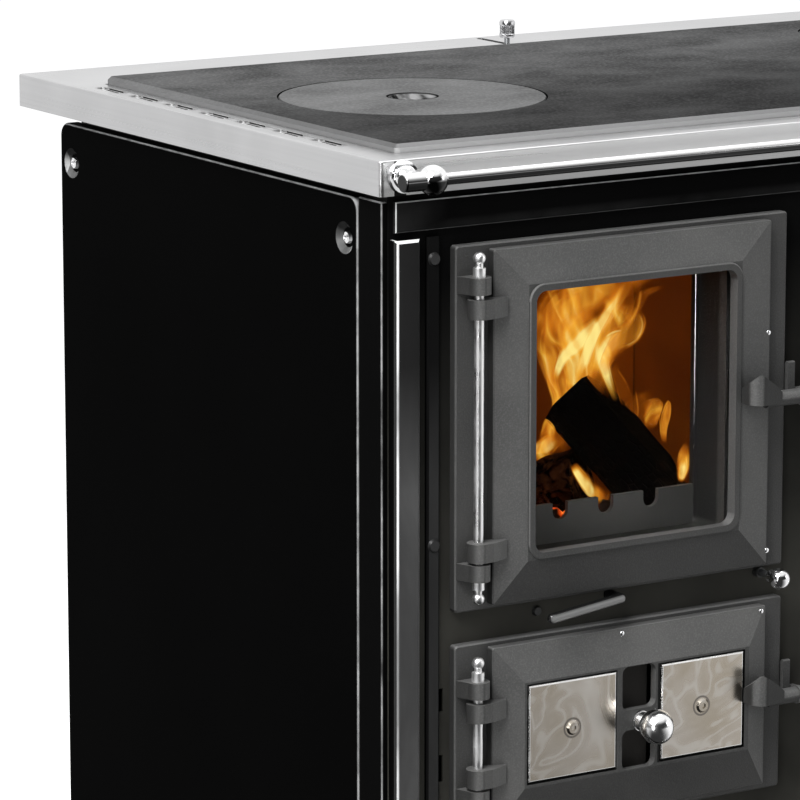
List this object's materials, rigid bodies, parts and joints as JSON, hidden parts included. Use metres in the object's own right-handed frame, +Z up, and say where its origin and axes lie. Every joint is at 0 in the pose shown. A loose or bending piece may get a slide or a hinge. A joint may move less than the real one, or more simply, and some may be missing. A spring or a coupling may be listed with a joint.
{
  "type": "wood cookstove",
  "caption": "Free-standing wood cookstove: glazed firebox door and ash door at the left, oven at the right, wood drawer below, cast hob with lift-out lids in a steel frame.",
  "frame": {"origin": "middle of the footprint of the whole outline, on the floor", "axes": "+X along the front to the right as seen by the cook, +Y to the back, +Z up"},
  "size_m": [0.96, 0.6919, 0.872],
  "materials": {
    "black_enamel": "gloss black enamel",
    "black_sheet": "satin black paint",
    "inner_steel": "dark heat-proof paint",
    "cast_iron_doors": "satin grey-black cast iron",
    "cast_iron_hob": "ground cast iron",
    "cast_iron_disc": "turned cast iron",
    "stainless": "brushed stainless steel",
    "chrome": "polished chrome",
    "polished_plate": "swirl-polished stainless steel",
    "galvanised": "plain steel sheet",
    "fire_glass": "clear ceramic glass",
    "fire_brick": "fired clay brick",
    "rope": "woven glass-fibre rope",
    "dial": "white dial in chrome case",
    "needle": "red painted steel",
    "rubber_feet": "black moulded pads"
  },
  "bodies": {
    "stove_body": {"plinth": "black_sheet", "feet": "rubber_feet", "chassis": "inner_steel", "left_side_panel": "black_enamel", "right_side_panel": "black_enamel", "side_screws": "chrome", "back_panel": "black_sheet", "front_posts": "black_enamel", "trim_strips": "black_enamel", "top_fascia": "black_enamel", "front_plate": "black_sheet", "front_fixings": "black_sheet", "top_frame": "stainless", "hob_carrier": "inner_steel", "hob_plate": "cast_iron_hob", "towel_rail": "chrome", "rail_brackets": "chrome", "hinge_pins": "chrome", "latch_keepers": "cast_iron_doors", "fire_door_frame": "cast_iron_doors", "ash_door_frame": "cast_iron_doors", "firebox_shell": "inner_steel", "bricks": "fire_brick", "log_retainer": "inner_steel", "ash_pan": "galvanised", "oven_box": "inner_steel", "oven_shelf": "chrome", "oven_tray": "inner_steel", "oven_door_frame": "cast_iron_doors", "soot_door_frame": "cast_iron_doors", "flue_box": "black_sheet", "flue_spigot": "cast_iron_doors"},
    "fire_door": {"fire_door": "cast_iron_doors", "fire_door_glass": "fire_glass", "fire_door_rope": "rope"},
    "fire_latch": {"fire_latch_handle": "cast_iron_doors"},
    "ash_door": {"ash_door": "cast_iron_doors", "ash_door_plates": "polished_plate", "ash_door_rope": "rope"},
    "ash_latch": {"ash_latch_handle": "cast_iron_doors"},
    "air_shutter": {"air_knob": "chrome", "air_shutter": "galvanised"},
    "air_lever": {"air_lever": "black_sheet"},
    "riddling_grate": {"riddling_knob": "chrome", "riddling_rod": "galvanised", "grate": "cast_iron_hob"},
    "oven_door": {"oven_door": "cast_iron_doors", "oven_door_glass": "fire_glass", "oven_door_handle": "chrome", "thermometer": "dial"},
    "thermometer_needle": {"thermometer_needle": "needle"},
    "soot_door": {"soot_door": "black_enamel", "soot_door_knob": "chrome"},
    "wood_drawer": {"drawer_front": "black_enamel", "drawer_box": "inner_steel", "drawer_handle": "chrome"},
    "damper": {"damper_knob": "chrome", "damper_slide": "galvanised"},
    "hob_disc": {"hob_disc": "cast_iron_disc"},
    "hob_plug": {"hob_plug": "cast_iron_disc"}
  },
  "joints": [
    {"name": "fire_door_hinge", "type": "hinge", "parent": "stove_body", "child": "fire_door", "pos_m": [-0.389, -0.303, 0.628], "axis": [0, 0, -1], "range_deg": [0, 110]},
    {"name": "ash_door_hinge", "type": "hinge", "parent": "stove_body", "child": "ash_door", "pos_m": [-0.389, -0.303, 0.372], "axis": [0, 0, -1], "range_deg": [0, 110]},
    {"name": "fire_latch_turn", "type": "hinge", "parent": "fire_door", "child": "fire_latch", "pos_m": [-0.1, -0.31, 0.626], "axis": [-1, 0, 0], "range_deg": [0, 60]},
    {"name": "ash_latch_turn", "type": "hinge", "parent": "ash_door", "child": "ash_latch", "pos_m": [-0.1, -0.31, 0.3727], "axis": [-1, 0, 0], "range_deg": [0, 60]},
    {"name": "air_shutter_turn", "type": "hinge", "parent": "ash_door", "child": "air_shutter", "pos_m": [-0.2345, -0.306, 0.3725], "axis": [0, 1, 0], "range_deg": [0, 90]},
    {"name": "air_lever_pull", "type": "slide", "parent": "stove_body", "child": "air_lever", "axis": [0, -1, 0], "range_m": [0, 0.015]},
    {"name": "riddling_pull", "type": "slide", "parent": "stove_body", "child": "riddling_grate", "axis": [0, -1, 0], "range_m": [0, 0.025]},
    {"name": "oven_door_hinge", "type": "hinge", "parent": "stove_body", "child": "oven_door", "pos_m": [0.1845, -0.303, 0.384], "axis": [1, 0, 0], "range_deg": [0, 90]},
    {"name": "thermometer_turn", "type": "hinge", "parent": "oven_door", "child": "thermometer_needle", "pos_m": [0.1845, -0.3085, 0.694], "axis": [0, 1, 0], "range_deg": [0, 200]},
    {"name": "soot_door_hinge", "type": "hinge", "parent": "stove_body", "child": "soot_door", "pos_m": [0.084, -0.295, 0.322], "axis": [0, 0, -1], "range_deg": [0, 100]},
    {"name": "drawer_pull", "type": "slide", "parent": "stove_body", "child": "wood_drawer", "axis": [0, -1, 0], "range_m": [0, 0.4]},
    {"name": "damper_push", "type": "slide", "parent": "stove_body", "child": "damper", "axis": [0, 1, 0], "range_m": [0, 0.045]},
    {"name": "hob_disc_lift", "type": "slide", "parent": "stove_body", "child": "hob_disc", "axis": [0, 0, 1], "range_m": [0, 0.06]},
    {"name": "hob_plug_lift", "type": "slide", "parent": "stove_body", "child": "hob_plug", "axis": [0, 0, 1], "range_m": [0, 0.06]}
  ]
}
